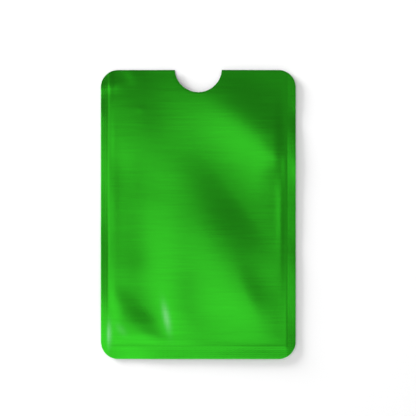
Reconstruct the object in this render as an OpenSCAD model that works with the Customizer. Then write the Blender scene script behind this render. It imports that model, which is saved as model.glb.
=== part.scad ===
/* [Card] */
// Width of the card that the sleeve is made for
card_w = 54; // [50:0.1:60]
// Length of the card
card_l = 85.6; // [80:0.1:95]
// Thickness of the card
card_t = 0.76; // [0.5:0.01:1.2]
// Free width between the card and each side seal
side_play = 0.9; // [0.5:0.1:2]
// Free length between the card and the closed end's seal
end_play = 0.9; // [0.5:0.1:3]
// Free height over the card along its edges
height_play = 0.14; // [0.05:0.01:0.6]

/* [Seals] */
// Width of the left side seal
left_seal_w = 2.4; // [1.8:0.1:3.5]
// Width of the right side seal
right_seal_w = 2.8; // [1.8:0.1:3.5]
// Width of the seal across the closed end
end_seal_w = 4; // [3:0.1:6]

/* [Outline] */
// Radius of the four cut corners
corner_r = 5.4; // [2:0.1:8]
// Radius of the half-round thumb notch
notch_r = 7.35; // [5:0.05:10]
// Height of the notch's centre above the mouth's edge
notch_rise = 0.4; // [0:0.1:1]

/* [Laminate] */
// Thickness of the green outer film
film_t = 0.05; // [0.03:0.01:0.1]
// Thickness of the aluminium shielding foil
foil_t = 0.03; // [0.02:0.01:0.06]
// Thickness of the heat-sealing inner film
liner_t = 0.07; // [0.04:0.01:0.12]
// Thickness of the melted bond between the two inner films
bond_t = 0.05; // [0.03:0.01:0.1]

/* [Pillow] */
// Distance from a seal over which the back panel sinks to its floor
tray_run = 2; // [1.5:0.1:4]
// Rise of the front panel's crown
crown = 0.25; // [0.1:0.05:1.5]
// Distance over which the crown grows from the closed end
closed_run = 30; // [12:1:50]
// Distance over which the crown sinks towards the mouth
mouth_run = 24; // [10:1:35]
// Share of the crown that is lost at the mouth
mouth_sink = 0.3; // [0:0.05:0.6]
// Distance from a seal within which the folds fade out
fold_fade = 4; // [3:0.5:8]

/* [Hidden] */

sleeve_w = left_seal_w + card_w + 2 * side_play + right_seal_w;
sleeve_l = end_seal_w + end_play + card_l;
left_x = -sleeve_w / 2 + left_seal_w;
right_x = sleeve_w / 2 - right_seal_w;
end_y = -sleeve_l / 2 + end_seal_w;
mouth_y = sleeve_l / 2;

// Share of its full depth that the back panel has at a distance d from the seam
function lift_off(d) = 1 - pow(1 - clamp01(d / tray_run), 3);

// The back panel sinks far enough for the card's edge
edge_gap = card_t + height_play;
seam_lift = (edge_gap - bond_t) / lift_off(min(side_play, end_play));

panel_t = film_t + foil_t + liner_t;
bond_z = seam_lift + panel_t;
front_z = bond_z + bond_t;

// Soft folds of the front panel: [x, y, heading, half length,
// half width on the left of the heading, half width on its right, height]
folds = [
  [17, 29, -42, 18, 8, 9, 0.7],
  [2, 36, -10, 16, 8, 18, 0.4],
  [14, 3, -53, 14, 14, 7, -0.5],
  [1, -6, -72, 18, 12, 14, 0.45],
  [-15, -6, -85, 22, 10, 8, -0.55],
  [-21.5, -34.5, -42, 10, 5, 6, 0.4],
  [-15, -30.5, -48, 9, 6, 4, -0.2],
  [15, -26, -70, 10, 5, 8, 0.4]
];

crown_power = 3;
grid_step = 3;
// The sheets' grids reach this far past the outline, and the die past their faces
rim = 0.5;
die_h = front_z + panel_t + crown + total([for (f = folds) max(0, f[6])]) + 2 * rim;

function clamp01(t) = min(1, max(0, t));
function ease(t) = let (c = clamp01(t)) c * c * (3 - 2 * c);
function total(list, i = 0) = i < len(list) ? list[i] + total(list, i + 1) : 0;

// Distance from the nearest seal, negative on a seal
function off_seam(x, y) = min(x - left_x, right_x - x, y - end_y);

function crown_across(x) = 1 - pow(abs(2 * clamp01((x - left_x) / (right_x - left_x)) - 1), crown_power);
function crown_along(y) = ease((y - end_y) / closed_run)
  * (1 - mouth_sink * ease((y - mouth_y + mouth_run) / mouth_run));

function fold_height(f, x, y) = let (dx = x - f[0], dy = y - f[1])
  let (along = (dx * cos(f[2]) + dy * sin(f[2])) / f[3])
  let (side = dy * cos(f[2]) - dx * sin(f[2]))
  let (across = side / (side > 0 ? f[4] : f[5]))
  f[6] * exp(-along * along - across * across);

// Height of the front panel's inner face
function front_face(x, y) = let (d = off_seam(x, y))
  front_z + crown * crown_across(x) * crown_along(y)
  + total([for (f = folds) fold_height(f, x, y)]) * ease(d / fold_fade);

// Height of the back panel's outer face, which lies flat inside the seams as a shallow tray
function back_face(x, y) = seam_lift * (1 - lift_off(off_seam(x, y)));

function reversed(list) = [for (i = [len(list) - 1 : -1 : 0]) list[i]];
function even_lines(from, to) = let (n = max(1, round((to - from) / grid_step)))
  [for (i = [1 : n - 1]) from + (to - from) * i / n];

// Grid lines from a seam inwards: the front bends over the folds' fade, the back over the tray's run
function front_lines(at, inwards) = [for (share = [0, 0.5, 1]) at + inwards * fold_fade * share];
function back_lines(at, inwards) = [for (share = [0, 0.2, 0.5, 1]) at + inwards * tray_run * share];

side_x = sleeve_w / 2 + rim;
side_y = sleeve_l / 2 + rim;
front_xs = concat([-side_x], front_lines(left_x, 1), even_lines(left_x + fold_fade, right_x - fold_fade),
                  reversed(front_lines(right_x, -1)), [side_x]);
front_ys = concat([-side_y], front_lines(end_y, 1), even_lines(end_y + fold_fade, side_y), [side_y]);
back_xs = concat([-side_x], back_lines(left_x, 1), reversed(back_lines(right_x, -1)), [side_x]);
back_ys = concat([-side_y], back_lines(end_y, 1), [side_y]);

// A sheet over grid lines xs and ys: heights[j][i] is the panel's face, and the
// sheet reaches from low to high above it
module sheet(xs, ys, heights, low, high) {
  nx = len(xs);
  ny = len(ys);
  // The quads' diagonals lean away from the middle, as the seams' corners do
  function lower(i, j) = j * nx + i;
  function upper(i, j) = nx * ny + lower(i, j);
  function leans(i) = xs[i] + xs[i + 1] > 0;
  function halves(a, b, c, d, lean) = lean ? [[a, b, d], [b, c, d]] : [[a, b, c], [a, c, d]];
  cells = [for (j = [0 : ny - 2]) for (i = [0 : nx - 2]) [i, j]];
  bottom = [for (c = cells) let (i = c[0], j = c[1])
    each halves(lower(i, j), lower(i + 1, j), lower(i + 1, j + 1), lower(i, j + 1), leans(i))];
  top = [for (c = cells) let (i = c[0], j = c[1])
    each [for (f = halves(upper(i, j), upper(i + 1, j), upper(i + 1, j + 1), upper(i, j + 1), leans(i))) reversed(f)]];
  ring = concat([for (i = [0 : nx - 2]) [i, 0]], [for (j = [0 : ny - 2]) [nx - 1, j]],
                [for (i = [nx - 1 : -1 : 1]) [i, ny - 1]], [for (j = [ny - 1 : -1 : 1]) [0, j]]);
  walls = [for (k = [0 : len(ring) - 1]) let (p = ring[k], q = ring[(k + 1) % len(ring)])
    [lower(q[0], q[1]), lower(p[0], p[1]), upper(p[0], p[1]), upper(q[0], q[1])]];
  points = [for (level = [low, high]) for (j = [0 : ny - 1]) for (i = [0 : nx - 1])
    [xs[i], ys[j], heights[j][i] + level]];
  polyhedron(points, concat(bottom, top, walls), convexity = 6);
}

front_heights = [for (y = front_ys) [for (x = front_xs) front_face(x, y)]];
back_heights = [for (y = back_ys) [for (x = back_xs) back_face(x, y)]];

module outline() {
  difference() {
    union() {
      square([sleeve_w - 2 * corner_r, sleeve_l], center = true);
      square([sleeve_w, sleeve_l - 2 * corner_r], center = true);
      for (sx = [-1, 1], sy = [-1, 1])
        translate([sx * (sleeve_w / 2 - corner_r), sy * (sleeve_l / 2 - corner_r)]) circle(corner_r, $fn = 96);
    }
    translate([0, mouth_y + notch_rise]) circle(notch_r, $fn = 128);
  }
}

module die_cut() {
  intersection() {
    children();
    translate([0, 0, -rim]) linear_extrude(die_h) outline();
  }
}

module front_layer(low, thickness) {
  die_cut() sheet(front_xs, front_ys, front_heights, low, low + thickness);
}

module back_layer(low, thickness) {
  die_cut() sheet(back_xs, back_ys, back_heights, low, low + thickness);
}

module front_outer_film() {
  color("limegreen") front_layer(liner_t + foil_t, film_t);
}

module front_shield_foil() {
  color("silver") front_layer(liner_t, foil_t);
}

module front_sealing_film() {
  color("gainsboro") front_layer(0, liner_t);
}

module back_outer_film() {
  color("limegreen") back_layer(0, film_t);
}

module back_shield_foil() {
  color("silver") back_layer(film_t, foil_t);
}

module back_sealing_film() {
  color("gainsboro") back_layer(film_t + foil_t, liner_t);
}

// The melted bond inside a rectangle of the outline
module heat_seal(from, to) {
  color("white") translate([0, 0, bond_z]) linear_extrude(bond_t) intersection() {
    outline();
    translate(from) square(to - from);
  }
}

module left_heat_seal() {
  heat_seal([-side_x, -side_y], [left_x, side_y]);
}

module right_heat_seal() {
  heat_seal([right_x, -side_y], [side_x, side_y]);
}

module end_heat_seal() {
  heat_seal([left_x, -side_y], [right_x, end_y]);
}

front_outer_film();
front_shield_foil();
front_sealing_film();
back_outer_film();
back_shield_foil();
back_sealing_film();
left_heat_seal();
right_heat_seal();
end_heat_seal();
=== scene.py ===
"""Looks of a heat-sealed foil card sleeve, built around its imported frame."""

import math

import bmesh
import bpy
import numpy as np
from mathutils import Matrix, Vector


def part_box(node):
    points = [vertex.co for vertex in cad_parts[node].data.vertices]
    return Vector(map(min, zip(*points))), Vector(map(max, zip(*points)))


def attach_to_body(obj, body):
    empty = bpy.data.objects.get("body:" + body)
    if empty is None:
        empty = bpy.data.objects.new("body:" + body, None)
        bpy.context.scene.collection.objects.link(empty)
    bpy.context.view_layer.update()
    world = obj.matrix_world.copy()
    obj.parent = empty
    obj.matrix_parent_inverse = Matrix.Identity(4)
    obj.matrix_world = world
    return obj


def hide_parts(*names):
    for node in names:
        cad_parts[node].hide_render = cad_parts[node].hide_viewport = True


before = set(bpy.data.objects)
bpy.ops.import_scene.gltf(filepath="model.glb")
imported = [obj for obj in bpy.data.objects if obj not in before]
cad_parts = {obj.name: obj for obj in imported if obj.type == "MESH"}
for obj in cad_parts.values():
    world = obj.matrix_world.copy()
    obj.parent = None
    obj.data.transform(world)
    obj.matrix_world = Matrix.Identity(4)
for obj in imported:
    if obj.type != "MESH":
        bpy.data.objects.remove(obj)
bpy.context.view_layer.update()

bl_info = {
    "name": "Foil Card Sleeve",
    "version": (1, 0, 0),
    "blender": (4, 5, 0),
    "location": "View3D > Sidebar > Card Sleeve",
    "description": "Models the laminate panels, seals and finish of a foil card sleeve",
    "category": "Object",
}

MM = 0.001

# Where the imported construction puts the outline, the seams and the layers
SHEET_LOW, SHEET_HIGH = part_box("front_outer_film")
LEFT_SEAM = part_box("left_heat_seal")[1].x
RIGHT_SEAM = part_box("right_heat_seal")[0].x
END_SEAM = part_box("end_heat_seal")[1].y
BOND_LOW, BOND_HIGH = (corner.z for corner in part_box("end_heat_seal"))
MOUTH = SHEET_HIGH.y
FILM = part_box("back_shield_foil")[0].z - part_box("back_outer_film")[0].z
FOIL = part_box("back_sealing_film")[0].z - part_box("back_shield_foil")[0].z
LINER = BOND_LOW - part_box("back_shield_foil")[1].z
PANEL = FILM + FOIL + LINER
SEAM_LIFT = BOND_LOW - PANEL

# Soft folds of the front panel, in millimetres and degrees: middle x, middle y, heading,
# half length, half width on the left of the heading, half width on its right, height
FOLDS = (
    (17, 29, -42, 18, 8, 9, 0.7),
    (2, 36, -10, 16, 8, 18, 0.4),
    (14, 3, -53, 14, 14, 7, -0.5),
    (1, -6, -72, 18, 12, 14, 0.45),
    (-15, -6, -85, 22, 10, 8, -0.55),
    (-21.5, -34.5, -42, 10, 5, 6, 0.4),
    (-15, -30.5, -48, 9, 6, 4, -0.2),
    (15, -26, -70, 10, 5, 8, 0.4),
)
# Smaller creases, given as the folds are, that only the finished surface has
CREASES = (
    (-7, -30.8, -79, 7, 6, 4, 0.32),
    (-18, 33.1, 0, 0.9, 0.9, 0.9, 0.04),
    (-19, 49, 8, 10, 6, 8, -0.8),
    (-20.8, 44.8, -60, 3.5, 3, 2.6, 0.28),
    (-15, -16, -88, 13, 12, 10, -0.2),
    (25, -1, -90, 10, 3, 8, 0.2),
    (24.5, 16, -90, 5, 3, 6, -0.2),
    (22, 18.5, -20, 3.5, 4, 7, 0.17),
    (-25, -37, -90, 5, 8, 3, 0.2),
    (-3, -26, -88, 8, 7, 8, 0.2),
    (-20, -35, -42, 7, 5, 6, -0.17),
    (-22, 22, -90, 6, 8, 5, 0.15),
    (-9, 4, -88, 9, 12, 8, -0.15),
    (24, -13, -90, 10, 3.5, 14, 0.15),
    (-19, 14, -88, 10, 13, 4.5, 0.12),
    (-14, 1, 0, 9, 8, 28, 0.25),
    (-17, -23, -88, 5, 9, 6, -0.14),
    (-21, -22, 10, 6, 8, 10, 0.15),
    (0, -30, -20, 7, 9, 7, -0.2),
    (-16, -38.6, -10, 4.5, 2.5, 2.5, 0.08),
    (-13, -34, -88, 5, 10, 5, 0.13),
    (-8, -21, 0, 6, 16, 8, 0.3),
    (-26.5, -27, -40, 4, 4, 3, 0.1),
    (-16, -33, 0, 5, 14, 4, 0.1),
    (21.5, -29, -90, 7, 3.5, 8, 0.1),
    (0, 19, -15, 12, 9, 8, -0.12),
    (-18, 29, 5, 6, 7, 7, 0.2),
)
# Where the seams leave their plane and take both panels along, given as the folds are
SWAYS = (
    (-33, 4, -90, 26, 14, 14, 0.4),
    (18, -48, 0, 16, 10, 10, 0.35),
    (-33, -19, -90, 11, 9, 9, 0.28),
    (-27, 40.7, 12, 4.5, 2.4, 1.8, 0.17),
)
# Where pale highlights are painted on creases and on the seam at the bottom left, given as the folds are,
# with the amount of painted highlight last
PAINTED_HIGHLIGHTS = (
    (-10.1, -32.2, -79, 4, 1, 0.8, 0.8),
    (-28.1, -37.4, -90, 3.2, 0.8, 0.5, 0.8),
    (-24.2, -36, -50, 2, 1, 1, 0.2),
)
# Where the sealed rim curls, in millimetres: place on the cut edge, reach, height at the edge
SIDE_CURLS = (
    (-30.5, -16, 15, 0.25),
    (-30.5, -41, 6.5, -0.45),
    (-30.5, -26, 5, 0.1),
    (-30.5, 13, 9, -0.12),
    (-30.5, 33, 4, 0.2),
    (-30.5, 40, 3, 0.25),
    (30.5, 30, 4, -0.24),
    (30.5, 16, 6, 0.18),
    (30.5, -10, 5, -0.1),
    (30.5, -38, 10, -0.17),
    (30.5, -8, 16, -0.07),
)
END_CURLS = (
    (-22, -45.2, 6, -0.45),
)

# Where the jaws' edges begin outside the side seams and the end seam, and how far they run
SIDE_JAW, SIDE_JAW_RUN = -0.35 * MM, 0.6 * MM
END_JAW, END_JAW_RUN = 0.2 * MM, 1.2 * MM
# Half width of the bead along the end seam, and how far short of the side seams it stops
BEAD_WIDTH, BEAD_STOP = 0.3 * MM, 1 * MM
# Width of the outer film that the cutting die rolls over
ROLL_WIDTH = 0.3 * MM

# Straight facets of each round corner and of the half-round notch
CORNER_FACETS, NOTCH_FACETS = 20, 48
# How far the faces that an arc may cut reach: in radii from its centre, and to each side of it
PATCH_REACH, ARC_BAND = 1.5, 1 * MM
# Points nearer than these lie on a cutting plane, or are one point
ON_PLANE, SAME_PLACE = 1e-7, 1e-6
# Edges that bend more than this stay sharp
SHARP_ANGLE = math.radians(50)
# Length that one unit of the panels' UV map stands for
UV_UNIT = 100 * MM

# Distances inside a seam at which a panel's grid changes its spacing
GRID_STOPS = (-1 * MM, 0.4 * MM, 3 * MM)
# Spacing from stop to stop, in millimetres: across the sleeve, and along it from the closed end.
# The outer films are fine, for what is pressed into them, and the layers inside are coarse
FINE_GRID = ((0.2, 0.12, 0.3, 0.7, 0.3, 0.12, 0.2), (0.2, 0.12, 0.3, 0.4))
COARSE_GRID = ((0.7, 0.5, 0.65, 1.2, 0.65, 0.5, 0.7), (0.8, 0.5, 0.65, 1))

# Spacing of the ribs that the jaws press along the seals, and of the dots that break them up
RIB_PITCH, DOT_PITCH = 0.63 * MM, 1.25 * MM
# Share of a rib's height that rises and falls with the dots
DOT_SHARE = 0.65
# Distances outside a seam between which the ribs set in
RIBS_START, RIBS_FULL = 0.2 * MM, 0.5 * MM
# Length and spacing of the streaks from brushing, across the sleeve
STREAK_LENGTH, STREAK_PITCH = 14.3 * MM, 0.385 * MM
# Length and spacing of the lines from the rolls, along the sleeve
ROLL_LENGTH, ROLL_PITCH = 16.7 * MM, 0.333 * MM
# The noise texture's values lie mostly between these
NOISE_LOW, NOISE_HIGH = 0.3, 0.7
# How much the streaks and the ribs change the lacquer's tone, and the streaks its roughness; the ribs'
# change is painted light and shade on their relief
STREAK_TONE, RIB_PAINTED_SHADE, STREAK_ROUGHNESS = 0.07, 0.06, 0.015
# Relief of the streaks and lines at their full strength, and of the ribs
LINE_DEPTH, RIB_DEPTH = 0.05 * MM, 0.01 * MM

# Width of the camera's sensor in millimetres
SENSOR_WIDTH = 36
# Half the side of the table
TABLE_REACH = 3
# Side of the overhead softbox for each metre of its height
BOX_SPREAD = 2.4
# Where the fill hangs, and the sides of the fill and of the key
FILL_PLACE = (0, 0, 1)
FILL_SIDE, KEY_SIDE = 1, 0.5
# Cosines of the angle to the heading in which the softbox ends: between the first two the walls
# change from near to far, and between the others the far walls darken
NEAR_TO_FAR = (-0.8, 0)
FAR_DARKENS = (0.1, 0.5)
# Sines of the angle above the horizon between which the walls' glow fades
GLOW_FADES = (0.1, 0.65)


def linear(hex_colour):
    """Turns an sRGB hex value into Blender's linear colour."""
    channels = [int(hex_colour[i:i + 2], 16) / 255 for i in (1, 3, 5)]
    return [c / 12.92 if c <= 0.04045 else ((c + 0.055) / 1.055) ** 2.4 for c in channels]


class SleeveShape(bpy.types.PropertyGroup):
    """The sleeve's outline, and the rise and relief of its panels"""
    corner_radius: bpy.props.FloatProperty(
        name="Corner radius", description="Radius of the four cut corners",
        default=5.4 * MM, min=2 * MM, max=8 * MM, unit="LENGTH", precision=5)
    notch_radius: bpy.props.FloatProperty(
        name="Notch radius", description="Radius of the half-round thumb notch",
        default=7.35 * MM, min=5 * MM, max=10 * MM, unit="LENGTH", precision=5)
    notch_rise: bpy.props.FloatProperty(
        name="Notch rise", description="Height of the notch's centre above the mouth's edge",
        default=0.4 * MM, min=0, max=1 * MM, unit="LENGTH", precision=5)
    tray_run: bpy.props.FloatProperty(
        name="Tray run", description="Distance from a seal over which the back panel sinks to its floor",
        default=2 * MM, min=1.5 * MM, max=4 * MM, unit="LENGTH", precision=5)
    crown: bpy.props.FloatProperty(
        name="Crown", description="Extra rise of the front panel's middle",
        default=0.25 * MM, min=0.1 * MM, max=1.5 * MM, unit="LENGTH", precision=5)
    crown_power: bpy.props.FloatProperty(
        name="Crown power", description="How flat the crown is: higher is flatter",
        default=3, min=2, max=6)
    closed_run: bpy.props.FloatProperty(
        name="Closed run", description="Distance over which the crown grows from the closed end",
        default=30 * MM, min=12 * MM, max=50 * MM, unit="LENGTH", precision=5)
    mouth_run: bpy.props.FloatProperty(
        name="Mouth run", description="Distance over which the crown sinks towards the mouth",
        default=24 * MM, min=10 * MM, max=35 * MM, unit="LENGTH", precision=5)
    mouth_sink: bpy.props.FloatProperty(
        name="Mouth sink", description="Share of the crown that is lost at the mouth",
        default=0.3, min=0, max=0.6, subtype="FACTOR")
    fold_fade: bpy.props.FloatProperty(
        name="Fold fade", description="Distance from a seal within which the folds fade out",
        default=4 * MM, min=3 * MM, max=8 * MM, unit="LENGTH", precision=5)
    jaw_depth: bpy.props.FloatProperty(
        name="Jaw depth", description="Depth to which the hot jaws press the seals in",
        default=0.028 * MM, min=0, max=0.03 * MM, unit="LENGTH", precision=6)
    seam_bead: bpy.props.FloatProperty(
        name="Seam bead", description="Height of the bead of melted film along the closed end's seam",
        default=0.009 * MM, min=0, max=0.05 * MM, unit="LENGTH", precision=6)
    edge_roll: bpy.props.FloatProperty(
        name="Edge roll", description="How far the cutting die rolls the outer film over at the cut edge",
        default=0.02 * MM, min=0, max=0.02 * MM, unit="LENGTH", precision=6)


class SleeveFinish(bpy.types.PropertyGroup):
    """Colours of the films and the foil, and the gloss of the lacquer"""
    lacquer: bpy.props.FloatVectorProperty(
        name="Lacquer", description="Colour of the green lacquer over the metallised film",
        subtype="COLOR", size=3, min=0, max=1, default=linear("#34CE23"))
    # A pale colour painted on a few creases and on the seam at the bottom left as highlights
    painted_highlight: bpy.props.FloatVectorProperty(
        name="Painted highlight", description="Colour painted on a few creases as pale highlights",
        subtype="COLOR", size=3, min=0, max=1, default=linear("#80E085"))
    glancing: bpy.props.FloatVectorProperty(
        name="Glancing lacquer", description="Colour that the lacquer gives to reflections at low angles",
        subtype="COLOR", size=3, min=0, max=1, default=linear("#5FE04E"))
    lacquer_roughness: bpy.props.FloatProperty(
        name="Lacquer roughness", description="Roughness of the brushed metal under the lacquer",
        default=0.215, min=0.05, max=0.8, subtype="FACTOR")
    foil: bpy.props.FloatVectorProperty(
        name="Foil", description="Colour of the aluminium foil",
        subtype="COLOR", size=3, min=0, max=1, default=linear("#E2E4E6"))
    sealing: bpy.props.FloatVectorProperty(
        name="Sealing film", description="Colour of the foil seen through the inner film",
        subtype="COLOR", size=3, min=0, max=1, default=linear("#C4C8CA"))
    melted: bpy.props.FloatVectorProperty(
        name="Melted film", description="Colour of the melted bond in the seals",
        subtype="COLOR", size=3, min=0, max=1, default=linear("#DADDDB"))


class SleeveStudio(bpy.types.PropertyGroup):
    """The camera, the table and the light that the sleeve is seen in"""
    camera_height: bpy.props.FloatProperty(
        name="Camera height", description="Height of the camera above the table",
        default=0.76, min=0.3, max=3, unit="LENGTH")
    view_width: bpy.props.FloatProperty(
        name="View width", description="Width of the table that the camera sees",
        default=130.5 * MM, min=0.05, max=0.5, unit="LENGTH")
    view_middle: bpy.props.FloatVectorProperty(
        name="View middle", description="Middle of what the camera sees, on the table",
        default=(3.04 * MM, 2.04 * MM), size=2, unit="LENGTH")
    card: bpy.props.FloatVectorProperty(
        name="Card", description="Colour of the card on the table",
        subtype="COLOR", size=3, min=0, max=1, default=linear("#FAFAFA"))
    softbox: bpy.props.FloatProperty(
        name="Softbox", description="Radiance of the overhead softbox",
        default=0.62, min=0, max=10)
    box_height: bpy.props.FloatProperty(
        name="Box height", description="Height of the softbox above the table",
        default=0.76, min=0.3, max=3, unit="LENGTH")
    edge_heading: bpy.props.FloatProperty(
        name="Edge heading", description="Direction in which the softbox ends",
        default=math.radians(58), min=-math.pi, max=math.pi, subtype="ANGLE")
    edge_place: bpy.props.FloatProperty(
        name="Edge place", description="Distance from overhead at which the softbox ends",
        default=-0.008, min=-0.3, max=0.3, unit="LENGTH")
    near_wall: bpy.props.FloatProperty(
        name="Near wall", description="Radiance of the walls on the softbox's side",
        default=0.75, min=0, max=3)
    far_wall: bpy.props.FloatProperty(
        name="Far wall", description="Radiance of the walls on the other side",
        default=0.27, min=0, max=3)
    far_fall: bpy.props.FloatProperty(
        name="Far fall", description="How much the far walls darken away from overhead",
        default=0.07, min=0, max=1)
    wall_glow: bpy.props.FloatProperty(
        name="Wall glow", description="How much brighter the walls are near the table's height",
        default=0.45, min=0, max=3)
    fill: bpy.props.FloatProperty(
        name="Fill", description="Radiance of the light overhead that evens out the table",
        default=1.25, min=0, max=10)
    key: bpy.props.FloatProperty(
        name="Key", description="Radiance of the key light at the upper left",
        default=23, min=0, max=200)
    key_place: bpy.props.FloatVectorProperty(
        name="Key place", description="Where the key light hangs",
        default=(-0.85, 0.55, 0.25), size=3, unit="LENGTH")


def ease(t):
    """A smooth step from 0 to 1."""
    t = np.clip(t, 0, 1)
    return t * t * (3 - 2 * t)


def off_seam(x, y):
    """Distance from the nearest seal, negative on a seal."""
    return np.minimum(np.minimum(x - LEFT_SEAM, RIGHT_SEAM - x), y - END_SEAM)


def lift_off(shape, d):
    """Share of its full depth that the back panel has at a distance d from the seam."""
    return 1 - (1 - np.clip(d / shape.tray_run, 0, 1)) ** 3


def crown_height(shape, x, y):
    """Rise of the front panel's middle, which grows from the closed end and sinks at the mouth."""
    share = np.clip((x - LEFT_SEAM) / (RIGHT_SEAM - LEFT_SEAM), 0, 1)
    across = 1 - np.abs(2 * share - 1) ** shape.crown_power
    grown = ease((y - END_SEAM) / shape.closed_run)
    sunk = 1 - shape.mouth_sink * ease((y - MOUTH + shape.mouth_run) / shape.mouth_run)
    return shape.crown * across * grown * sunk


def fold_height(folds, x, y):
    """Height of all folds together, each a long bell that may be steeper on one side."""
    height = np.zeros_like(x)
    for mid_x, mid_y, heading, half_length, left_width, right_width, rise in folds:
        turn = math.radians(heading)
        dx, dy = x / MM - mid_x, y / MM - mid_y
        along = (dx * math.cos(turn) + dy * math.sin(turn)) / half_length
        across = dy * math.cos(turn) - dx * math.sin(turn)
        across /= np.where(across > 0, left_width, right_width)
        height += rise * MM * np.exp(-along ** 2 - across ** 2)
    return height


def rim_curl(x, y):
    """How far the sealed rim tilts up or down outside the seam."""
    side = np.maximum(LEFT_SEAM - x, x - RIGHT_SEAM) / (LEFT_SEAM - SHEET_LOW.x)
    end = (END_SEAM - y) / (END_SEAM - SHEET_LOW.y)
    height = np.zeros_like(x)
    for curls, outwards in ((SIDE_CURLS, side), (END_CURLS, end)):
        for mid_x, mid_y, reach, rise in curls:
            far = ((x / MM - mid_x) ** 2 + (y / MM - mid_y) ** 2) / reach ** 2
            height += rise * MM * np.exp(-far) * np.clip(outwards, 0, None)
    return height


def front_face(shape, x, y):
    """Height of the front panel's inner face."""
    d = off_seam(x, y)
    folds = fold_height(FOLDS, x, y) * ease(d / shape.fold_fade)
    creases = fold_height(CREASES, x, y) * ease(d / shape.tray_run)
    seams = fold_height(SWAYS, x, y) + rim_curl(x, y)
    return BOND_HIGH + crown_height(shape, x, y) + folds + creases + seams


def back_face(shape, x, y):
    """Height of the back panel's outer face, which lies flat inside the seams."""
    seams = SEAM_LIFT + fold_height(SWAYS, x, y)
    return seams * (1 - lift_off(shape, off_seam(x, y))) + rim_curl(x, y)


def outside_seams(x, y):
    """Distances outside the end seam and outside the side seams, negative inside them."""
    return END_SEAM - y, np.maximum(LEFT_SEAM - x, x - RIGHT_SEAM)


def inside_edge(shape, x, y):
    """Distance inside the cut edge."""
    radius = shape.corner_radius
    over_x = np.abs(x) - (SHEET_HIGH.x - radius)
    over_y = np.abs(y) - (SHEET_HIGH.y - radius)
    past_corner = np.hypot(np.maximum(over_x, 0), np.maximum(over_y, 0))
    outline = radius - past_corner - np.minimum(np.maximum(over_x, over_y), 0)
    notch = np.hypot(x, y - MOUTH - shape.notch_rise) - shape.notch_radius
    return np.minimum(outline, notch)


def pressed(shape, x, y):
    """How far the hot jaws and the cutting die press a panel's outer face in."""
    end, side = outside_seams(x, y)
    jaws = np.maximum(ease((side - SIDE_JAW) / SIDE_JAW_RUN), ease((end - END_JAW) / END_JAW_RUN))
    bead = np.exp(-(end / BEAD_WIDTH) ** 2) * (1 - ease((side + BEAD_STOP) / BEAD_STOP))
    rolled = np.clip(1 - inside_edge(shape, x, y) / ROLL_WIDTH, 0, 1) ** 2
    return shape.jaw_depth * jaws - shape.seam_bead * bead + shape.edge_roll * rolled


def bearing(angle):
    """The level direction at an angle from the x axis."""
    return Vector((math.cos(angle), math.sin(angle), 0))


def grid_lines(stops, spacing):
    """Grid lines between stops, about as far apart as the spacing says."""
    lines = [stops[0]]
    for start, stop, step in zip(stops, stops[1:], spacing):
        count = max(1, round((stop - start) / (step * MM)))
        lines.extend(np.linspace(start, stop, count + 1)[1:])
    return lines


def split(mesh, faces, place, direction):
    """Splits some faces along a plane and returns all that they become."""
    around = {part for f in faces for part in (*f.edges, *f.verts)}
    cut = bmesh.ops.bisect_plane(mesh, geom=[*faces, *around], dist=ON_PLANE,
                                 plane_co=place, plane_no=direction)
    return [part for part in cut["geom"] if isinstance(part, bmesh.types.BMFace)]


def detach(mesh, centre, reach):
    """Moves the faces within reach of a centre into a mesh of their own."""
    near = mesh.copy()
    for part, drop_far in ((near, True), (mesh, False)):
        drop = [f for f in part.faces if ((f.calc_center_median() - centre).length > reach) == drop_far]
        bmesh.ops.delete(part, geom=drop, context="FACES")
    return near


def attach(mesh, part):
    """Puts a part back into a mesh and merges the points that they share."""
    store = bpy.data.meshes.new("part")
    part.to_mesh(store)
    part.free()
    mesh.from_mesh(store)
    bpy.data.meshes.remove(store)
    bmesh.ops.remove_doubles(mesh, verts=mesh.verts, dist=SAME_PLACE)


def cut_round(mesh, centre, radius, first, sweep, facets, drop_outside):
    """Cuts a flat mesh along the facets of an arc and drops what lies outside or inside it.

    The faces round the arc are cut in a mesh of their own, because that is much quicker.
    """
    first, step = math.radians(first), math.radians(sweep) / facets
    flat = radius * math.cos(step / 2)
    middle = bearing(first + step * facets / 2)

    def arm(face):
        return face.calc_center_median() - centre

    def facet(face):
        reach = arm(face)
        return int((math.atan2(reach.y, reach.x) - first) % math.tau / step)

    def outwards(k):
        return bearing(first + step * (k + 0.5))

    patch = detach(mesh, centre, radius * PATCH_REACH)
    ring = [f for f in patch.faces if abs(arm(f).length - radius) < ARC_BAND and arm(f).dot(middle) > 0]
    for k in range(facets + 1):
        ring = split(patch, ring, centre, bearing(first + step * k + math.pi / 2))
    sectors = [[] for k in range(facets)]
    for f in ring:
        if facet(f) < facets:
            sectors[facet(f)].append(f)
    for k, sector in enumerate(sectors):
        split(patch, sector, centre + outwards(k) * flat, outwards(k))
    spare = [f for f in patch.faces
             if facet(f) < facets and (arm(f).dot(outwards(facet(f))) > flat) == drop_outside]
    bmesh.ops.delete(patch, geom=spare, context="FACES")
    attach(mesh, patch)


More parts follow.
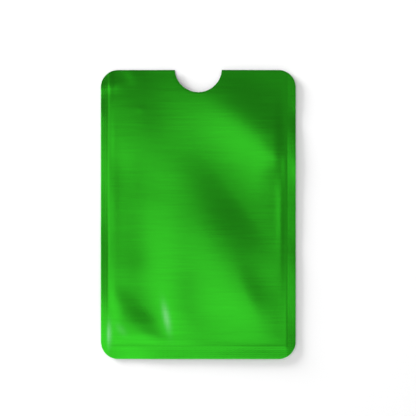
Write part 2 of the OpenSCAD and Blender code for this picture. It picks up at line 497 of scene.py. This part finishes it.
def cut_panel(shape, spacing):
    """A flat grid cut to the sleeve's outline: four round corners and the thumb notch."""
    x_stops = (SHEET_LOW.x, *(LEFT_SEAM + stop for stop in GRID_STOPS),
               *(RIGHT_SEAM - stop for stop in reversed(GRID_STOPS)), SHEET_HIGH.x)
    y_stops = (SHEET_LOW.y, *(END_SEAM + stop for stop in GRID_STOPS), MOUTH)
    x_lines, y_lines = grid_lines(x_stops, spacing[0]), grid_lines(y_stops, spacing[1])
    columns, rows = len(x_lines) - 1, len(y_lines) - 1
    # The grid starts as an even one with a side of 1, and its lines then move to their places
    mesh = bmesh.new()
    bmesh.ops.create_grid(mesh, x_segments=columns, y_segments=rows, size=0.5)
    for v in mesh.verts:
        v.co.x = x_lines[round((v.co.x + 0.5) * columns)]
        v.co.y = y_lines[round((v.co.y + 0.5) * rows)]
    radius = shape.corner_radius
    for sx, sy, first in ((1, 1, 0), (-1, 1, 90), (-1, -1, 180), (1, -1, 270)):
        centre = Vector((sx * (SHEET_HIGH.x - radius), sy * (SHEET_HIGH.y - radius), 0))
        cut_round(mesh, centre, radius, first, 90, CORNER_FACETS, drop_outside=True)
    notch = Vector((0, MOUTH + shape.notch_rise, 0))
    cut_round(mesh, notch, shape.notch_radius, 180, 180, NOTCH_FACETS, drop_outside=False)
    return mesh


def mark_places(data):
    """Stores what the finishes read: the grain's way, where pale highlights are painted on creases,
    distances outside the seams.
    """
    corners = np.zeros(len(data.vertices) * 3, np.float32)
    data.vertices.foreach_get("co", corners)
    places = corners.reshape(-1, 3)
    x, y = places[:, 0], places[:, 1]
    used = np.zeros(len(data.loops), np.int32)
    data.loops.foreach_get("vertex_index", used)
    grain = data.uv_layers.new(name="grain")
    grain.data.foreach_set("uv", (places[used][:, :2] / UV_UNIT).astype(np.float32).ravel())
    # How much painted highlight each point gets, from the table of painted highlights
    painted_highlight = data.attributes.new("painted_highlight", "FLOAT", "POINT")
    painted_highlight.data.foreach_set("value", fold_height(PAINTED_HIGHLIGHTS, x, y) / MM)
    outside = data.attributes.new("outside", "FLOAT_VECTOR", "POINT")
    distances = np.column_stack((*outside_seams(x, y), np.zeros(len(places))))
    outside.data.foreach_set("vector", distances.astype(np.float32).ravel())


def layer(name, flat, low, high):
    """One layer of the laminate: the flat cut panel, raised between two heights."""
    mesh = flat.copy()
    raised = bmesh.ops.extrude_face_region(mesh, geom=mesh.faces[:])["geom"]
    tops = {v for v in raised if isinstance(v, bmesh.types.BMVert)}
    for verts, height in (([v for v in mesh.verts if v not in tops], low), (list(tops), high)):
        places = np.array([v.co[:2] for v in verts])
        for v, z in zip(verts, height(places[:, 0], places[:, 1])):
            v.co.z = z
    bmesh.ops.recalc_face_normals(mesh, faces=mesh.faces[:])
    data = bpy.data.meshes.new(name)
    mesh.to_mesh(data)
    mesh.free()
    data.shade_smooth()
    data.set_sharp_from_angle(angle=SHARP_ANGLE)
    mark_places(data)
    piece = bpy.data.objects.new(name, data)
    bpy.context.scene.collection.objects.link(piece)
    return piece


def add(tree, kind, inputs=None, **settings):
    """Adds a node with its settings, and links or sets its inputs."""
    node = tree.nodes.new(kind)
    for name, value in settings.items():
        setattr(node, name, value)
    for socket, source in (inputs or {}).items():
        if isinstance(source, bpy.types.NodeSocket):
            tree.links.new(source, node.inputs[socket])
        else:
            node.inputs[socket].default_value = source
    return node


def new_material(name):
    """An empty node material and its tree."""
    material = bpy.data.materials.new(name)
    material.use_nodes = True
    material.node_tree.nodes.clear()
    return material, material.node_tree


def jaw_ribs(tree, place):
    """Ribs that the jaws press along the seals, broken up into dots: from -1 to 1 on each seal."""
    outside = add(tree, "ShaderNodeAttribute", attribute_name="outside").outputs["Vector"]
    waves = []
    for source, pitch in ((outside, RIB_PITCH), (place, DOT_PITCH)):
        turns = add(tree, "ShaderNodeVectorMath", {0: source, "Scale": math.tau / pitch}, operation="SCALE")
        waves.append(add(tree, "ShaderNodeVectorMath", {0: turns.outputs["Vector"]}, operation="SINE"))
    whole = 1 - DOT_SHARE
    dots = add(tree, "ShaderNodeVectorMath", {
        0: waves[1].outputs["Vector"], 1: (DOT_SHARE, DOT_SHARE, 0), 2: (whole, whole, 0),
    }, operation="MULTIPLY_ADD")
    # On vectors, a Map Range node's limits are its inputs 7 and 8
    sealed = add(tree, "ShaderNodeMapRange", {
        "Vector": outside, 7: (RIBS_START,) * 3, 8: (RIBS_FULL,) * 3,
    }, data_type="FLOAT_VECTOR")
    ribs = add(tree, "ShaderNodeVectorMath", {
        0: waves[0].outputs["Vector"], 1: sealed.outputs["Vector"],
    }, operation="MULTIPLY")
    crossed = add(tree, "ShaderNodeVectorMath", {
        0: ribs.outputs["Vector"], 1: dots.outputs["Vector"],
    }, operation="DOT_PRODUCT")
    return crossed.outputs["Value"]


def lacquered_film(finish):
    """Green lacquer on vacuum-metallised polyester, brushed across the width.

    It looks like satin green metal: each highlight is drawn out along the sleeve, shallow creases show
    as soft light and dark bands, and even reflections at low angles stay green. Pale highlights are
    painted into the colour on a few creases, and painted light and shade on the ribs of the seals.
    """
    material, tree = new_material("green_metallised_film")
    place = add(tree, "ShaderNodeTexCoord")
    streak = (1 / STREAK_LENGTH, 1 / STREAK_PITCH, 1 / STREAK_LENGTH)
    stretched = add(tree, "ShaderNodeMapping", {"Vector": place.outputs["Object"], "Scale": streak})
    streaks = add(tree, "ShaderNodeTexNoise", {
        "Vector": stretched.outputs["Vector"], "Scale": 1.0, "Detail": 3.0, "Roughness": 0.6})
    tone = add(tree, "ShaderNodeMapRange", {
        "Value": streaks.outputs["Fac"], "From Min": NOISE_LOW, "From Max": NOISE_HIGH,
        "To Min": 1 - STREAK_TONE, "To Max": 1 + STREAK_TONE})
    ribs = jaw_ribs(tree, place.outputs["Object"])
    # Painted light and shade: the raised parts of the ribs are made lighter and the low parts darker
    ribbed = add(tree, "ShaderNodeMath", {
        0: ribs, 1: RIB_PAINTED_SHADE, 2: tone.outputs["Result"],
    }, operation="MULTIPLY_ADD")
    # Pale highlights painted into the lacquer's colour on a few creases
    painted_highlight = add(tree, "ShaderNodeAttribute", attribute_name="painted_highlight")
    # A Mix node's colours are its inputs 6 and 7 and its output 2
    paler = add(tree, "ShaderNodeMix", {
        "Factor": painted_highlight.outputs["Fac"], 6: (*finish.lacquer, 1), 7: (*finish.painted_highlight, 1),
    }, data_type="RGBA")
    colour = add(tree, "ShaderNodeVectorMath", {
        0: paler.outputs[2], "Scale": ribbed.outputs["Value"],
    }, operation="SCALE")
    rough = add(tree, "ShaderNodeMapRange", {
        "Value": streaks.outputs["Fac"], "From Min": NOISE_LOW, "From Max": NOISE_HIGH,
        "To Min": finish.lacquer_roughness - STREAK_ROUGHNESS,
        "To Max": finish.lacquer_roughness + STREAK_ROUGHNESS})
    along = add(tree, "ShaderNodeTangent", direction_type="UV_MAP", uv_map="grain")
    ridges = add(tree, "ShaderNodeBump", {
        "Height": streaks.outputs["Fac"], "Strength": 0.1, "Distance": LINE_DEPTH})
    crimped = add(tree, "ShaderNodeBump", {
        "Height": ribs, "Strength": 1.0, "Distance": RIB_DEPTH, "Normal": ridges.outputs["Normal"]})
    film = add(tree, "ShaderNodeBsdfPrincipled", {
        "Base Color": colour.outputs["Vector"], "Metallic": 1.0, "Roughness": rough.outputs["Result"],
        "Specular Tint": (*finish.glancing, 1), "Anisotropic": 0.6, "Anisotropic Rotation": 0.25,
        "Tangent": along.outputs["Tangent"], "Normal": crimped.outputs["Normal"],
        "Coat Weight": 0.12, "Coat Roughness": 0.18, "Coat IOR": 1.5})
    add(tree, "ShaderNodeOutputMaterial", {"Surface": film.outputs["BSDF"]})
    return material


def rolled_sheet(name, colour, metallic, roughness, lines):
    """A thin sheet with faint lines along the way it was rolled, the sleeve's length."""
    material, tree = new_material(name)
    place = add(tree, "ShaderNodeTexCoord")
    line = (1 / ROLL_PITCH, 1 / ROLL_LENGTH, 1 / ROLL_LENGTH)
    stretched = add(tree, "ShaderNodeMapping", {"Vector": place.outputs["Object"], "Scale": line})
    grain = add(tree, "ShaderNodeTexNoise", {
        "Vector": stretched.outputs["Vector"], "Scale": 1.0, "Detail": 2.0})
    spread = add(tree, "ShaderNodeMapRange", {
        "Value": grain.outputs["Fac"], "From Min": NOISE_LOW, "From Max": NOISE_HIGH,
        "To Min": 1 - lines, "To Max": 1 + lines})
    tone = add(tree, "ShaderNodeVectorMath", {
        0: colour, "Scale": spread.outputs["Result"],
    }, operation="SCALE")
    rough = add(tree, "ShaderNodeMath", {
        0: spread.outputs["Result"], 1: roughness,
    }, operation="MULTIPLY")
    ridges = add(tree, "ShaderNodeBump", {
        "Height": grain.outputs["Fac"], "Strength": lines, "Distance": LINE_DEPTH})
    sheet = add(tree, "ShaderNodeBsdfPrincipled", {
        "Base Color": tone.outputs["Vector"], "Metallic": metallic, "Roughness": rough.outputs["Value"],
        "Normal": ridges.outputs["Normal"]})
    add(tree, "ShaderNodeOutputMaterial", {"Surface": sheet.outputs["BSDF"]})
    return material


def shield_foil(finish):
    """Soft aluminium foil as it comes from the rolls: bright, with a soft sheen and faint lines."""
    return rolled_sheet("rolled_aluminium_foil", finish.foil,
                        metallic=1.0, roughness=0.28, lines=0.06)


def sealing_film(finish):
    """Clear cast polyethylene over the foil, which dulls its silver and blurs its highlights."""
    return rolled_sheet("polyethylene_sealing_film", finish.sealing,
                        metallic=0.65, roughness=0.42, lines=0.04)


def melted_film(finish):
    """Polyethylene that has melted and set again: milky white and nearly without lines."""
    return rolled_sheet("melted_polyethylene", finish.melted,
                        metallic=0.0, roughness=0.4, lines=0.02)


def table_card(studio):
    """Matt white card without a highlight, so that only the sleeve's shadow shows on it."""
    material, tree = new_material("matt_white_card")
    card = add(tree, "ShaderNodeBsdfPrincipled", {"Base Color": (*studio.card, 1), "Roughness": 0.9})
    add(tree, "ShaderNodeOutputMaterial", {"Surface": card.outputs["BSDF"]})
    return material


def dress(piece, material, node):
    """Gives a piece its finish, sets it on the root body and hides the node that it stands for."""
    piece.data.materials.append(material)
    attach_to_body(piece, "root")
    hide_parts(node)


class SLEEVE_OT_front_panel(bpy.types.Operator):
    """Model the three layers of the front panel"""
    bl_idname = "sleeve.front_panel"
    bl_label = "Front Panel"

    def execute(self, context):
        shape, finish = context.scene.sleeve_shape, context.scene.sleeve_finish
        fine, coarse = cut_panel(shape, FINE_GRID), cut_panel(shape, COARSE_GRID)

        def raised(offset):
            return lambda x, y: front_face(shape, x, y) + offset

        film = layer("front_film", fine, raised(LINER + FOIL),
                     lambda x, y: front_face(shape, x, y) + PANEL - pressed(shape, x, y))
        foil = layer("front_foil", coarse, raised(LINER), raised(LINER + FOIL))
        liner = layer("front_liner", coarse, raised(0), raised(LINER))
        dress(film, lacquered_film(finish), "front_outer_film")
        dress(foil, shield_foil(finish), "front_shield_foil")
        dress(liner, sealing_film(finish), "front_sealing_film")
        return {"FINISHED"}


class SLEEVE_OT_back_panel(bpy.types.Operator):
    """Model the three layers of the back panel"""
    bl_idname = "sleeve.back_panel"
    bl_label = "Back Panel"

    def execute(self, context):
        shape, finish = context.scene.sleeve_shape, context.scene.sleeve_finish
        fine, coarse = cut_panel(shape, FINE_GRID), cut_panel(shape, COARSE_GRID)

        def raised(offset):
            return lambda x, y: back_face(shape, x, y) + offset

        film = layer("back_film", fine,
                     lambda x, y: back_face(shape, x, y) + pressed(shape, x, y), raised(FILM))
        foil = layer("back_foil", coarse, raised(FILM), raised(FILM + FOIL))
        liner = layer("back_liner", coarse, raised(FILM + FOIL), raised(PANEL))
        dress(film, lacquered_film(finish), "back_outer_film")
        dress(foil, shield_foil(finish), "back_shield_foil")
        dress(liner, sealing_film(finish), "back_sealing_film")
        return {"FINISHED"}


class SLEEVE_OT_heat_seals(bpy.types.Operator):
    """Finish the melted bonds between the two panels"""
    bl_idname = "sleeve.heat_seals"
    bl_label = "Heat Seals"

    def execute(self, context):
        def bonded(level):
            return lambda x, y: level + fold_height(SWAYS, x, y) + rim_curl(x, y)

        bond = melted_film(context.scene.sleeve_finish)
        flat = cut_panel(context.scene.sleeve_shape, COARSE_GRID)
        for side, inside in (("left", lambda at: at.x < LEFT_SEAM),
                             ("right", lambda at: at.x > RIGHT_SEAM),
                             ("end", lambda at: LEFT_SEAM < at.x < RIGHT_SEAM and at.y < END_SEAM)):
            band = flat.copy()
            spare = [f for f in band.faces if not inside(f.calc_center_median())]
            bmesh.ops.delete(band, geom=spare, context="FACES")
            seal = layer(f"{side}_seal", band, bonded(BOND_LOW), bonded(BOND_HIGH))
            dress(seal, bond, f"{side}_heat_seal")
        return {"FINISHED"}


def softbox(name, place, target, side, radiance):
    """A square area light that faces the target."""
    lamp = bpy.data.lights.new(name, "AREA")
    lamp.shape = "SQUARE"
    lamp.size = side
    lamp.energy = radiance * math.pi * side * side
    light = bpy.data.objects.new(name, lamp)
    light.location = place
    light.rotation_euler = (Vector(target) - Vector(place)).to_track_quat("-Z", "Y").to_euler()
    bpy.context.scene.collection.objects.link(light)
    return light


def hang_lights(studio, away):
    """A softbox that ends overhead, so that a flat film is caught between bright and dark.

    It shows only in gloss, and the fill and the key only on what is matt.
    """
    side = BOX_SPREAD * studio.box_height
    place = away * (studio.edge_place - side / 2)
    place.z = studio.box_height
    box = softbox("overhead_softbox", place, place - Vector((0, 0, 1)), side, studio.softbox)
    box.rotation_euler.z = studio.edge_heading
    box.visible_camera = False
    box.visible_diffuse = False
    fill = softbox("fill_light", FILL_PLACE, (0, 0, 0), FILL_SIDE, studio.fill)
    key = softbox("key_light", studio.key_place, (0, 0, 0), KEY_SIDE, studio.key)
    for light in (fill, key):
        light.visible_glossy = False
        light.visible_camera = False


def light_walls(scene, studio, away):
    """Pale walls that are brighter on the softbox's side and near the table's height."""
    world = bpy.data.worlds.new("studio")
    scene.world = world
    world.use_nodes = True
    tree = world.node_tree
    background = tree.nodes["Background"]
    background.inputs["Color"].default_value = (1, 1, 1, 1)
    place = add(tree, "ShaderNodeTexCoord")
    lean = add(tree, "ShaderNodeVectorMath", {
        0: place.outputs["Generated"], 1: away,
    }, operation="DOT_PRODUCT")
    fall = add(tree, "ShaderNodeMapRange", {
        "Value": lean.outputs["Value"], "From Min": NEAR_TO_FAR[0], "From Max": NEAR_TO_FAR[1],
        "To Min": studio.near_wall, "To Max": studio.far_wall})
    dim = add(tree, "ShaderNodeMapRange", {
        "Value": lean.outputs["Value"], "From Min": FAR_DARKENS[0], "From Max": FAR_DARKENS[1],
        "To Min": 0.0, "To Max": -studio.far_fall})
    height = add(tree, "ShaderNodeSeparateXYZ", {"Vector": place.outputs["Generated"]})
    glow = add(tree, "ShaderNodeMapRange", {
        "Value": height.outputs["Z"], "From Min": GLOW_FADES[0], "From Max": GLOW_FADES[1],
        "To Min": studio.wall_glow, "To Max": 0.0})
    shade = add(tree, "ShaderNodeMath", {
        0: fall.outputs["Result"], 1: dim.outputs["Result"],
    }, operation="ADD")
    walls = add(tree, "ShaderNodeMath", {
        0: shade.outputs["Value"], 1: glow.outputs["Result"],
    }, operation="ADD")
    tree.links.new(walls.outputs["Value"], background.inputs["Strength"])


def lay_table(scene, studio):
    """A large plain table that the sleeve lies on."""
    mesh = bmesh.new()
    bmesh.ops.create_grid(mesh, x_segments=1, y_segments=1, size=TABLE_REACH)
    data = bpy.data.meshes.new("table")
    mesh.to_mesh(data)
    mesh.free()
    table = bpy.data.objects.new("table", data)
    scene.collection.objects.link(table)
    data.materials.append(table_card(studio))


def set_camera(scene, studio):
    """A camera straight above the table, framed as the photograph is."""
    camera = bpy.data.objects.new("camera", bpy.data.cameras.new("camera"))
    camera.data.sensor_width = SENSOR_WIDTH
    camera.data.lens = camera.data.sensor_width * studio.camera_height / studio.view_width
    camera.location = (*studio.view_middle, studio.camera_height)
    scene.collection.objects.link(camera)
    scene.camera = camera
    scene.view_settings.view_transform = "Standard"


class SLEEVE_OT_stage(bpy.types.Operator):
    """Set the pale table, the softboxes and the camera"""
    bl_idname = "sleeve.stage"
    bl_label = "Stage"

    def execute(self, context):
        scene, studio = context.scene, context.scene.sleeve_studio
        away = bearing(studio.edge_heading)
        lay_table(scene, studio)
        hang_lights(studio, away)
        light_walls(scene, studio, away)
        set_camera(scene, studio)
        return {"FINISHED"}


class SLEEVE_PT_builder(bpy.types.Panel):
    """Lists the steps that build the sleeve, and the values that they use"""
    bl_label = "Card Sleeve"
    bl_idname = "SLEEVE_PT_builder"
    bl_space_type = "VIEW_3D"
    bl_region_type = "UI"
    bl_category = "Card Sleeve"

    def draw(self, context):
        column = self.layout.column()
        for operator in STEPS:
            column.operator(operator.bl_idname)
        scene = context.scene
        for group in (scene.sleeve_shape, scene.sleeve_finish, scene.sleeve_studio):
            for name in group.__annotations__:
                column.prop(group, name)


GROUPS = (SleeveShape, SleeveFinish, SleeveStudio)
STEPS = (SLEEVE_OT_front_panel, SLEEVE_OT_back_panel, SLEEVE_OT_heat_seals, SLEEVE_OT_stage)


def register():
    for cls in (*GROUPS, *STEPS, SLEEVE_PT_builder):
        bpy.utils.register_class(cls)
    bpy.types.Scene.sleeve_shape = bpy.props.PointerProperty(type=SleeveShape)
    bpy.types.Scene.sleeve_finish = bpy.props.PointerProperty(type=SleeveFinish)
    bpy.types.Scene.sleeve_studio = bpy.props.PointerProperty(type=SleeveStudio)


def unregister():
    del bpy.types.Scene.sleeve_studio
    del bpy.types.Scene.sleeve_finish
    del bpy.types.Scene.sleeve_shape
    for cls in reversed((*GROUPS, *STEPS, SLEEVE_PT_builder)):
        bpy.utils.unregister_class(cls)


def main():
    """Builds the sleeve and its stage."""
    register()
    bpy.ops.sleeve.front_panel()
    bpy.ops.sleeve.back_panel()
    bpy.ops.sleeve.heat_seals()
    bpy.ops.sleeve.stage()


if __name__ == "__main__":
    main()
